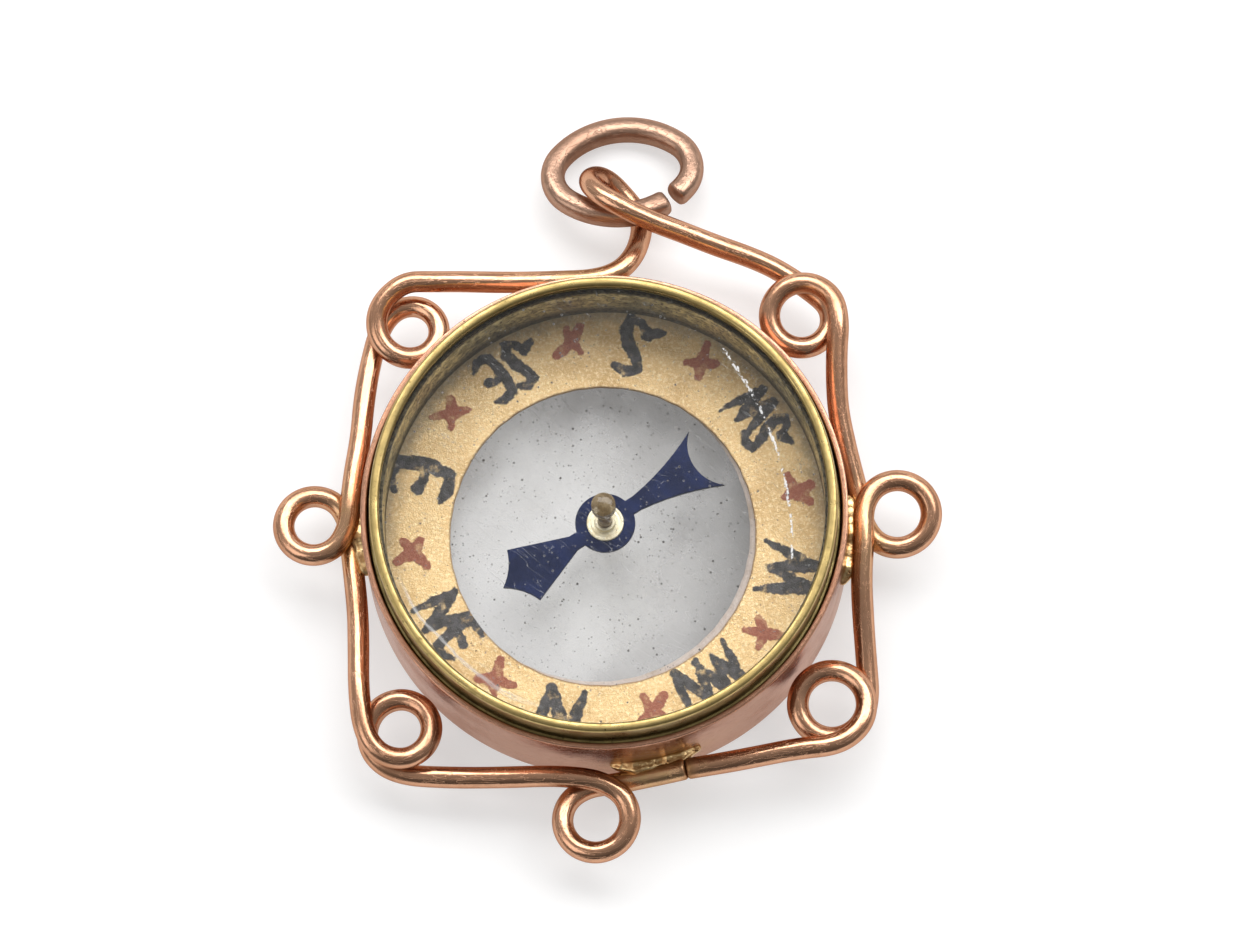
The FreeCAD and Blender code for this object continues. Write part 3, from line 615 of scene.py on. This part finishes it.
# ---------------------------------------------------------------- distance rings
# Two strips of thin brass bent round inside the cup, under and over the dial cards. They never saw a
# polishing cloth: dull olive and mottled, with painted shade, dark and mottled, towards the cards and in a
# line under the bezel's lip.
def strip_brass(name, card_z, away, lip_z):
    """Dull strip: painted shade, dark and mottled, next to the card at card_z, clearing by away millimetres
    from it, and a dark line of painted shade under the bezel's lip, at lip_z."""
    strip = Finish(name, Metallic=0.85)
    at = strip.place()
    height = strip.part(at, "Z")
    mottle = strip.noise(at, 2.2, 5.0, 0.65)
    # painted shade: darker towards the card, with a mottled border
    bloom_and_shade = ((height - card_z).distance() + 1.1 * (mottle - 0.5)).step(away, 0.35 * away)
    crust = strip.noise(at, 6.0, 4.0, 0.7).step(0.50, 0.62)
    # painted shade: a dark line just under the bezel's lip
    shade_under_lip = height.step(lip_z - 0.30, lip_z - 0.05)
    colour = strip.blend(mottle.step(0.38, 0.62), (0.86, 0.78, 0.47), (0.36, 0.31, 0.15))
    colour = strip.blend(bloom_and_shade, colour, (0.14, 0.115, 0.06))
    colour = strip.blend((0.8 * crust + 0.9 * shade_under_lip).clip(), colour, (0.06, 0.05, 0.035))
    relief = strip.bump(mottle + 0.6 * crust, 0.02)
    return strip.feed(Base_Color=colour, Roughness=0.42 + 0.3 * bloom_and_shade, Normal=relief).material


def soft_edges(node, width, material):
    """The CAD piece as it is, its doubled corners welded and its edges eased."""
    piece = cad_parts[node]
    weld = piece.modifiers.new("weld", "WELD")
    weld.merge_threshold = 0.002 * MM
    ease = piece.modifiers.new("eased edges", "BEVEL")
    ease.width = width * MM
    ease.segments = 2
    ease.limit_method = "ANGLE"
    ease.angle_limit = math.radians(35)
    piece.data.materials.clear()
    piece.data.materials.append(material)


card_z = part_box("front_dial_card")[0].z / MM
for node, away in (("rear_distance_ring", 0.5), ("front_distance_ring", 1.5)):
    soft_edges(node, 0.02, strip_brass(node + "_brass", card_z, away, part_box(node)[1].z / MM))


# ---------------------------------------------------------------- dial cards
# Two rings of stiff paper, back to back, each with a hole cut by hand and so a little off centre.
# The front one is gilt, with the points of the compass brushed in dark grey-blue, the tops of the
# letters towards the middle, and a small brick-red star between each two.
CARD_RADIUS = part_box("front_dial_card")[1].x / MM
HOLE_RADIUS = 6.30
NORTH_AT = -100.0                 # degrees from +X: the dial lies turned in the case
LETTER_CIRCLE = 7.70
LETTER_PITCH = 1.62               # from letter to letter in a word, before it is scaled
NARROWED = 0.86                   # letters in a word of two are this much narrower
BRUSH = 1.22                      # how much wider the brush is than in the letters' own points
STAR_CIRCLE = 8.02
# each letter is brush strokes through (x, y, half width) points, x to its right and y to its top
LETTERS = {
    "S": [[(0.87, 0.98, 0.14), (0.40, 1.16, 0.20), (-0.10, 0.98, 0.17), (0.07, 0.52, 0.20),
           (0.50, -0.03, 0.24), (0.70, -0.60, 0.23), (0.55, -1.08, 0.19), (0.10, -0.98, 0.14),
           (-0.27, -0.52, 0.24), (-0.85, -0.74, 0.12)]],
    "E": [[(-0.42, 1.06, 0.18), (-0.56, 0.10, 0.24), (-0.40, -0.98, 0.20), (0.22, -1.10, 0.17),
           (0.72, -0.78, 0.10)],
          [(-0.42, 1.04, 0.19), (0.22, 1.12, 0.20), (0.66, 0.98, 0.11)],
          [(-0.50, 0.12, 0.17), (0.10, 0.16, 0.15), (0.40, 0.02, 0.20)]],
    "N": [[(-0.72, -1.12, 0.10), (-0.66, 0.10, 0.21), (-0.56, 1.08, 0.13)],
          [(-0.56, 1.02, 0.20), (0.02, 0.02, 0.24), (0.58, -1.00, 0.18)],
          [(0.60, -1.04, 0.13), (0.70, 0.20, 0.22), (0.84, 1.14, 0.10)]],
    "W": [[(-1.02, 1.10, 0.09), (-0.74, 0.10, 0.21), (-0.46, -1.02, 0.22)],
          [(-0.46, -1.00, 0.24), (-0.18, -0.10, 0.19), (0.02, 0.86, 0.10)],
          [(0.02, 0.80, 0.11), (0.28, -0.10, 0.22), (0.50, -1.04, 0.22)],
          [(0.50, -1.02, 0.20), (0.80, 0.10, 0.19), (1.04, 1.16, 0.08)]],
}
# word, degrees clockwise from north, letter scale, millimetres out from the letter circle: set out not quite
# evenly
POINTS = (("N", 3.5, 1.0, 0.50), ("NE", 47, 0.86, 0.0), ("E", 95, 1.12, 0.24), ("SE", 139, 0.88, 0.08),
          ("S", 180.5, 1.0, 0.05), ("SW", 226, 0.86, 0.05), ("W", 275, 1.0, 0.05), ("NW", 317, 0.86, 0.06))
STARS = (25, 72, 117, 160, 200, 250, 295, 336)


def letter_strokes():
    """Every brush stroke of the lettering as rows (ax, ay, a half width, bx, by, b half width): each
    letter is shrunk, then set with its top towards the middle, at its angle on the letter circle."""
    rows = []
    for word, clockwise, scale, outward in POINTS:
        for place, letter in enumerate(word):
            shift = (place - (len(word) - 1) / 2) * LETTER_PITCH * scale / LETTER_CIRCLE
            angle = math.radians(NORTH_AT - clockwise) + shift
            out = np.array([math.cos(angle), math.sin(angle)])
            right = np.array([-out[1], out[0]])
            for stroke in LETTERS[letter]:
                points = np.array(stroke)
                spread = NARROWED if len(word) > 1 else 1.0
                spots = spread * points[:, :1] * right - points[:, 1:2] * out
                spots = (LETTER_CIRCLE + outward) * out + scale * spots
                joined = np.hstack([spots, BRUSH * scale * points[:, 2:]])
                rows.append(np.hstack([joined[:-1], joined[1:]]))
    return np.vstack(rows)


def star_strokes():
    """Four tapering arms for each star, uneven in length and direction as a brush leaves them."""
    draw = np.random.default_rng(11)
    rows = []
    for clockwise in STARS:
        middle = math.radians(NORTH_AT - clockwise)
        centre = (STAR_CIRCLE + draw.uniform(-0.12, 0.12)) * np.array([math.cos(middle), math.sin(middle)])
        for arm in range(4):
            angle = middle + 0.6 + arm * math.pi / 2 + draw.uniform(-0.38, 0.38)
            tip = centre + draw.uniform(0.52, 0.88) * np.array([math.cos(angle), math.sin(angle)])
            rows.append([*centre, 0.30, *tip, draw.uniform(0.12, 0.22)])
    return np.array(rows)


def paint_edge(points, strokes):
    """Distance of each point outside the nearest stroke, negative inside: the distance to the stroke's
    line, less its half width there, which changes evenly from one end to the other."""
    best = np.full(len(points), 9.0)
    for ax, ay, aw, bx, by, bw in strokes:
        run = np.array([bx - ax, by - ay])
        t = np.clip(((points - (ax, ay)) @ run) / (run @ run), 0, 1)
        away = np.hypot(points[:, 0] - ax - t * run[0], points[:, 1] - ay - t * run[1])
        best = np.minimum(best, away - (aw + t * (bw - aw)))
    return best


def card_ring(name, low, high, hole_at, around, across, material, painted, seed):
    """Paper ring: on each spoke the inner edge lies on a circle about hole_at, at c.u + sqrt(R^2 -
    c^2 + (c.u)^2) from the middle, moved by small waves where the knife wandered."""
    angle = np.linspace(0, 2 * math.pi, around, endpoint=False)[:, None]
    c_u = hole_at[0] * np.cos(angle) + hole_at[1] * np.sin(angle)
    inner = c_u + np.sqrt(HOLE_RADIUS**2 - hole_at[0] ** 2 - hole_at[1] ** 2 + c_u**2)
    inner = inner + waves(angle, 0, 0.03, 9, seed) + 0.012 * np.cos(37 * angle) * np.cos(5 * angle + 1)
    share = np.concatenate([np.linspace(0, 1, across), np.linspace(1, 0, 8)])[None]
    top = (np.arange(across + 8) < across)[None]
    curl = 0.010 * np.cos(3 * angle + seed) * (1 - share) * top
    height = np.where(top, high - 0.012, low) + curl
    radius = inner + share * (CARD_RADIUS - inner)
    grid = np.stack([radius * np.cos(angle), radius * np.sin(angle), height + 0 * radius], axis=2)
    carries = {}
    if painted:
        flat = grid[..., :2].reshape(-1, 2)
        carries = {"letters": paint_edge(flat, letter_strokes()), "stars": paint_edge(flat, star_strokes()),
                   "cut": radius - inner}
    return skin(name, grid, lengths=(2 * math.pi * CARD_RADIUS, 2 * (CARD_RADIUS - HOLE_RADIUS)),
                carries=carries, material=material)


def gilt_paper():
    """Gilt paper with brushed lettering: fine crackled grain, foxing, brown edges at the cut, a painted
    shadow darkening its outer edge on the upper side, and paint that is thin and patchy, with ragged borders."""
    card = Finish("gilt_card")
    at = card.place()
    grain = card.noise(at, 7.0, 6.0, 0.75)
    crackle = card.node("TexVoronoi", {"feature": "DISTANCE_TO_EDGE"}, {"Vector": at, "Scale": 7.5})
    clouds = card.noise(at, 0.55, 4.0, 0.6).step(0.35, 0.72)
    foxing = card.noise(at, 1.3, 5.0, 0.7).step(0.60, 0.74)
    dirt = card.specks(at, 2.1, 0.09) * card.noise(at, 0.8).step(0.48, 0.58)
    # painted shadow of the bezel and wall: the card's outer edge is darker, and less metallic, on its upper
    # side
    grime = (card.away(at) + 1.5 * (card.noise(at, 2.4, 5.0, 0.7) - 0.5)).step(8.25, 9.2)
    grime = grime * card.part(at, "Y").step(-5.0, 4.0)
    gilt = card.blend(clouds, (0.80, 0.56, 0.27), (0.60, 0.38, 0.16))
    gilt = card.blend(0.75 * grain.step(0.46, 0.66), gilt, (1.0, 0.84, 0.52))
    gilt = card.blend(0.30 * foxing, gilt, (0.46, 0.26, 0.11))
    cut_edge = (card.carried("cut") + 0.10 * (grain - 0.5)).step(0.10, 0.02)
    gilt = card.blend(0.75 * cut_edge, gilt, (0.20, 0.11, 0.05))
    gilt = card.blend(0.65 * grime, gilt, (0.17, 0.14, 0.09))
    gilt = card.blend(dirt, gilt, (0.10, 0.07, 0.04))
    ragged = 0.34 * (card.noise(at, 2.6, 5.0, 0.65) - 0.5) + 0.10 * (grain - 0.5)
    ink = (card.carried("letters") + ragged).step(0.035, -0.035)
    red = (card.carried("stars") + ragged).step(0.035, -0.035)
    thin = card.noise(at, 1.9, 5.0, 0.65)
    ink = ink * (0.98 - 0.75 * thin.step(0.54, 0.74))
    red = red * (0.95 - 0.5 * thin.step(0.50, 0.72))
    worn = card.noise(at, 3.0, 3.0).step(0.35, 0.7)
    shade = card.blend(worn, (0.022, 0.023, 0.028), (0.075, 0.075, 0.085))
    brick = card.blend(grain.step(0.35, 0.7), (0.30, 0.065, 0.035), (0.42, 0.13, 0.07))
    colour = card.blend(ink, gilt, shade)
    colour = card.blend(red, colour, brick)
    painted = ink.most(red)
    relief = card.bump(grain + 0.16 * crackle.step(0.0, 0.12), 0.030)
    relief = card.bump(painted + 0.3 * thin, 0.012, relief)
    shine = 0.55 * (1 - painted) * (1 - grime)
    return card.feed(Base_Color=colour, Metallic=shine, Roughness=0.40 + 0.22 * painted + 0.1 * foxing,
                     Normal=relief).material


def plain_card():
    """The uncoated back: grey-pink pulp with a soft tooth, and broad brown stains."""
    card = Finish("card_back")
    at = card.place()
    pulp = card.noise(at, 6.0, 5.0, 0.7)
    stain = card.noise(at, 0.8, 4.0, 0.6).step(0.45, 0.75)
    colour = card.blend(pulp.step(0.3, 0.75), (0.62, 0.54, 0.49), (0.52, 0.43, 0.38))
    colour = card.blend(0.6 * stain, colour, (0.36, 0.26, 0.17))
    return card.feed(Base_Color=colour, Roughness=0.85, Normal=card.bump(pulp, 0.02)).material


# the painted card's grid is fine, because the lettering is carried on its points
for node, name, slot, paper, hole_at, around, across, painted, seed in (
    ("front_dial_card", "painted_card", "gilt_card", gilt_paper(), (-0.12, -0.46), 960, 76, True, 5),
    ("rear_dial_card", "backing_card", "card_back", plain_card(), (-0.34, -0.24), 360, 12, False, 8),
):
    low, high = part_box(node)
    card = card_ring(name, low.z / MM, high.z / MM, hole_at, around, across, paper, painted, seed)
    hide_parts(node)
    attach(card, "capsule")


# ---------------------------------------------------------------- needle
# A blade of thin steel blued over a flame, with a swallow tail at one end and a three-point crown at
# the other. It turns on a pale brass collet and a pointed steel staff.
def blued_steel():
    """Blued steel: deep navy, clouded paler where the flame drew it too far, with rust freckles."""
    steel = Finish("blued_steel", Metallic=0.45, Specular_IOR_Level=0.15)
    at = steel.place()
    clouds = steel.noise(at, 0.9, 5.0, 0.62).step(0.36, 0.72)
    freckles = steel.specks(at, 2.6, 0.13) * steel.noise(at, 1.2).step(0.48, 0.60)
    grain = steel.noise(at, 8.0, 4.0, 0.7)
    colour = steel.blend(clouds, (0.001, 0.006, 0.036), (0.006, 0.016, 0.075))
    colour = steel.blend(0.25 * grain.step(0.5, 0.75), colour, (0.06, 0.07, 0.17))
    colour = steel.blend(freckles * 0.7, colour, (0.22, 0.20, 0.20))
    relief = steel.bump(grain + 0.8 * freckles, 0.006)
    rough = 0.34 + 0.16 * clouds + 0.2 * freckles
    return steel.feed(Base_Color=colour, Roughness=rough, Normal=relief).material


RING_MARKS = 38.0                 # turning marks on the collet, in radians a millimetre


def pale_brass():
    """Collet: pale scoured brass, almost cream, with turning rings."""
    brass = Finish("collet_brass", Metallic=0.55)
    at = brass.place()
    rings = (brass.away(at) * RING_MARKS).sine()
    stain = brass.noise(at, 3.0, 4.0, 0.6).step(0.45, 0.75)
    colour = brass.blend(stain * 0.6, (0.86, 0.79, 0.58), (0.55, 0.42, 0.20))
    relief = brass.bump(rings, 0.003)
    return brass.feed(Base_Color=colour, Roughness=0.36 + 0.1 * stain, Normal=relief).material


def dark_steel():
    """Staff: brown-grey steel with grease in its turning marks."""
    steel = Finish("staff_steel", Metallic=0.5)
    at = steel.place()
    grease = steel.noise(at, 3.5, 4.0, 0.6).step(0.4, 0.7)
    colour = steel.blend(grease, (0.26, 0.17, 0.08), (0.10, 0.055, 0.025))
    return steel.feed(Base_Color=colour, Roughness=0.28 + 0.2 * grease,
                      Normal=steel.bump(steel.noise(at, 7.0, 3.0), 0.004)).material


soft_edges("needle", 0.02, blued_steel())
soft_edges("needle_collet", 0.03, pale_brass())
soft_edges("pivot_staff", 0.01, dark_steel())


# ---------------------------------------------------------------- pivot studs
# Each glass has a hole in its middle for a small stud, cupped towards the needle and domed outside.
# They look like horn or amber: olive-brown, and light comes through them.
def amber():
    """See-through olive brown, clouded, denser in the middle."""
    stud = Finish("amber_stud", IOR=1.54, Roughness=0.12)
    at = stud.place()
    cloud = stud.noise(at, 2.4, 4.0, 0.6)
    colour = stud.blend(cloud.step(0.35, 0.7), (0.33, 0.25, 0.14), (0.17, 0.115, 0.055))
    return stud.feed(Base_Color=colour, Alpha=0.60 + 0.2 * cloud, Normal=stud.bump(cloud, 0.01)).material


amber_finish = amber()
for node in ("rear_pivot_cup", "front_pivot_cup"):
    soft_edges(node, 0.02, amber_finish)


# ---------------------------------------------------------------- glasses
# Two flat discs of clear glass, one at the back on the cup's lip and one under the bezel. Both are dusty
# inside, with black specks, hair scratches and a grey bloom, which is heavy on the rear one and thicker and
# darker towards the rim as painted shade; the front one has a broken white arc part of the way round and a
# fainter one along the bezel, which are painted highlights.
CLEAREST_AT = (-2.4, -0.9)          # the film is thinnest here, and thicker and greyer towards the rim: painted shade
GLINT_CENTRE, GLINT_RADIUS = (-6.2, -1.78), 13.9    # the circle that a broken arc of painted highlight lies on
GLINT_LOW, GLINT_HIGH = -2.5, 6.8     # the stretch of it that is painted bright, along Y
LOWER_GLINT_RADIUS = 8.72                 # radius of a fainter arc of painted highlight along the bezel, at the lower left


def old_glass(name, bloom_and_shade, glinting, tint):
    """Glass: clear where its film of dust, specks, scratches and bloom has no Alpha, with painted shade that
    thickens and darkens the film towards the rim and, on the front glass, white arcs of painted highlight,
    and mirroring a share of 0.020 + 0.8 f^5, where f is 1 less the cosine of the angle of view, alike on both
    faces."""
    glass = Finish(name, Roughness=0.75)
    at = glass.place()
    cloud = glass.noise(at, 0.28, 4.0, 0.6).step(0.30, 0.78)
    dust = glass.noise(at, 14.0, 3.0, 0.7).step(0.60, 0.78)
    patch = glass.noise(at, 0.6, 3.0).step(0.36, 0.54)
    specks = glass.specks(at, 1.5, 0.10) * patch
    fine = glass.specks(at, 3.0, 0.14) * glass.noise(at, 0.9).step(0.40, 0.52)
    turn = glass.node("VectorRotate", {"rotation_type": "Z_AXIS"}, {"Vector": at, "Angle": 0.7})
    combed = glass.node("VectorMath", {"operation": "MULTIPLY"}, {0: turn, 1: (0.25, 1.6, 1.0)})
    hairs = glass.scratches(combed, 0.9, 0.0035) * glass.noise(at, 0.5).step(0.46, 0.56)
    # painted shade: the film grows thicker and its colour darker towards the rim
    rim_shade = (glass.away(at, CLEAREST_AT) + 1.2 * (cloud - 0.5)).step(2.6, 9.0)
    film = bloom_and_shade * (0.45 + 0.55 * cloud + 0.8 * rim_shade + 0.5 * dust)
    film = film + 0.5 * fine + 0.8 * specks + 0.30 * hairs
    dark = (specks + 0.8 * fine).clip()
    colour = glass.blend(rim_shade, tint, tuple(0.68 * part for part in tint))
    colour = glass.blend(dark, colour, (0.05, 0.045, 0.04))
    # painted highlight: a broken white arc standing in for light mirrored in the glass
    if glinting:
        up = glass.part(at, "Y")
        wander = glass.away(at, GLINT_CENTRE) - GLINT_RADIUS + 0.12 * (glass.noise(at, 1.4) - 0.5)
        glint_arc = wander.distance().step(0.075, 0.02) * glass.noise(at, 3.4, 3.0, 0.7).step(0.50, 0.58)
        glint_arc = glint_arc * up.step(GLINT_LOW, GLINT_LOW + 0.3) * up.step(GLINT_HIGH, GLINT_HIGH - 0.3)
        # painted highlight: a fainter white arc along the bezel
        lower_glint = (glass.away(at) + 0.3 * (cloud - 0.5) - LOWER_GLINT_RADIUS).distance().step(0.10, 0.0)
        lower_glint = lower_glint * up.step(-2.5, -4.5) * glass.part(at, "X").step(-2.0, -4.0)
        glint_arc = (0.8 * glint_arc + 0.35 * lower_glint).clip()
        colour = glass.blend(glint_arc, colour, (1.0, 1.0, 1.0))
        film = film + glint_arc
    glass.feed(Base_Color=colour, Alpha=film.clip())
    mirror = glass.node("BsdfGlossy", None, {"Color": (1.0, 1.0, 1.0), "Roughness": 0.03,
                                             "Normal": glass.bump(glass.noise(at, 0.35, 2.0), 0.02)})
    slant = glass.node("LayerWeight", None, {"Blend": 0.5}, out="Facing")
    sheen = 0.020 + 0.8 * slant**5
    mixed = glass.node("MixShader", None, {0: sheen, 1: Value(glass, glass.shader.outputs[0]), 2: mirror})
    glass.plug(glass.tree.nodes["Material Output"].inputs["Surface"], mixed)
    return glass.material


for node, bloom_and_shade, glinting, tint in (
    ("rear_glass", 0.36, False, (0.57, 0.56, 0.55)),
    ("front_glass", 0.008, True, (0.66, 0.66, 0.65)),
):
    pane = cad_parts[node]
    pane.data.materials.clear()
    pane.data.materials.append(old_glass(node + "_pane", bloom_and_shade, glinting, tint))


# ---------------------------------------------------------------- bezel
# A ring of sheet brass, spun over at the top to hold the front glass, and pushed over the spigot. It is
# brighter than the cup, since it is what a thumb rubs; its inner edge is darker, and its foot beside the band
# is darkened with painted shade in the gap.
bezel_brass = old_brass("bezel_brass", (0.50, 0.37, 0.15), (0.20, 0.145, 0.05), 0.22, (0.4, 7.0))
BEZEL_RADIUS = bezel_high.x / MM - 0.003
BEZEL_TOP = bezel_high.z / MM - 0.002
LIP_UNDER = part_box("front_glass")[1].z / MM
LIP_REACH = 0.23                  # how far the spun lip comes in over the front glass
LIP_OPENING = SPIGOT_RADIUS - LIP_REACH
GAP_TOP = 5.6                     # below this the bezel is darkened: painted shade in the gap beside the band
spun_bezel = turned("spun_bezel", [
    (SPIGOT_RADIUS, SHOULDER, 0.02), (BEZEL_RADIUS, SHOULDER, 0.05),
    (BEZEL_RADIUS, BEZEL_TOP, 0.16), (LIP_OPENING, BEZEL_TOP, 0.15),
    (LIP_OPENING, LIP_UNDER, 0.03), (SPIGOT_RADIUS, LIP_UNDER, 0.01),
], 420, bezel_brass, spacing=0.2, uneven=0.003, seed=21, carry=lambda grid: {
    # darker at the lip's inner edge, and painted shade on the foot below GAP_TOP, in the gap beside the band
    "tarnish_and_shade": np.clip(1 - (np.hypot(grid[..., 0], grid[..., 1]) - LIP_OPENING) / 0.07, 0, 1)
    + np.clip((GAP_TOP - grid[..., 2]) / 0.6, 0, 1)})
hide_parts("front_bezel")
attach(spun_bezel, "capsule")


# ---------------------------------------------------------------- table, light and camera
# A white table, a wide soft lamp above the far side, a weak one at the front left, and pale
# surroundings that are darker on the near side, so that polished metal has something to mirror.
def white_table():
    """Smooth white board with the faintest tooth."""
    board = Finish("white_table", Roughness=0.6, Specular_IOR_Level=0.2, Emission_Color=(1.0, 1.0, 1.0, 1.0),
                   Emission_Strength=0.52)
    tooth = board.noise(board.place(), 1.5, 3.0)
    tone = board.blend(tooth, (0.50, 0.50, 0.50), (0.53, 0.53, 0.53))
    return board.feed(Base_Color=tone, Normal=board.bump(tooth, 0.004)).material


bpy.ops.mesh.primitive_plane_add(size=3.0, location=(0, 0, 0))
table = bpy.context.object
table.name = "table_top"
table.data.materials.append(white_table())


def lamp(name, place, wide, high, power):
    """Soft lamp aimed at the dial, wide across and high up and down."""
    data = bpy.data.lights.new(name, "AREA")
    data.shape = "RECTANGLE"
    data.size, data.size_y, data.energy = wide, high, power
    made = bpy.data.objects.new(name, data)
    made.location = place
    made.rotation_euler = (Vector((0, 0, 0)) - Vector(place)).to_track_quat("-Z", "Y").to_euler()
    bpy.context.scene.collection.objects.link(made)


lamp("key_lamp", (0.10, 0.39, 0.60), 1.10, 0.40, 6.3)
lamp("fill_lamp", (-0.45, -0.20, 0.45), 0.40, 0.40, 0.8)

world = bpy.data.worlds.new("studio")
bpy.context.scene.world = world
world.use_nodes = True
sky = world.node_tree.nodes
back = sky["Background"]
look = sky.new("ShaderNodeTexCoord")
split = sky.new("ShaderNodeSeparateXYZ")
tone = sky.new("ShaderNodeMapRange")
for key, value in (("From Min", -0.9), ("From Max", 0.7), ("To Min", 0.12), ("To Max", 0.62)):
    tone.inputs[key].default_value = value
world.node_tree.links.new(look.outputs["Generated"], split.inputs[0])
world.node_tree.links.new(split.outputs["Y"], tone.inputs["Value"])
world.node_tree.links.new(tone.outputs[0], back.inputs["Strength"])
back.inputs["Color"].default_value = (1.0, 1.0, 1.0, 1.0)

VIEW_AZIMUTH, VIEW_ELEVATION = math.radians(5), math.radians(76)
VIEW_DISTANCE = 400.0
VIEW_AIM = (1.066, 1.605, 5.25)
VIEW_ACROSS = 51.6393             # millimetres from side to side of the view, at the aim
SENSOR = 36.0
camera_data = bpy.data.cameras.new("camera")
camera_data.sensor_width = SENSOR
camera_data.lens = SENSOR * VIEW_DISTANCE / VIEW_ACROSS
camera_data.clip_start = 0.02
camera = bpy.data.objects.new("camera", camera_data)
away = Vector((math.sin(VIEW_AZIMUTH) * math.cos(VIEW_ELEVATION),
               -math.cos(VIEW_AZIMUTH) * math.cos(VIEW_ELEVATION), math.sin(VIEW_ELEVATION)))
right = Vector((0, 1, 0)).cross(away).normalized()
facing = Matrix((right, away.cross(right), away)).transposed()
camera.matrix_world = Matrix.Translation((Vector(VIEW_AIM) + away * VIEW_DISTANCE) * MM) @ facing.to_4x4()
bpy.context.scene.collection.objects.link(camera)
bpy.context.scene.camera = camera
bpy.context.scene.view_settings.view_transform = "Standard"
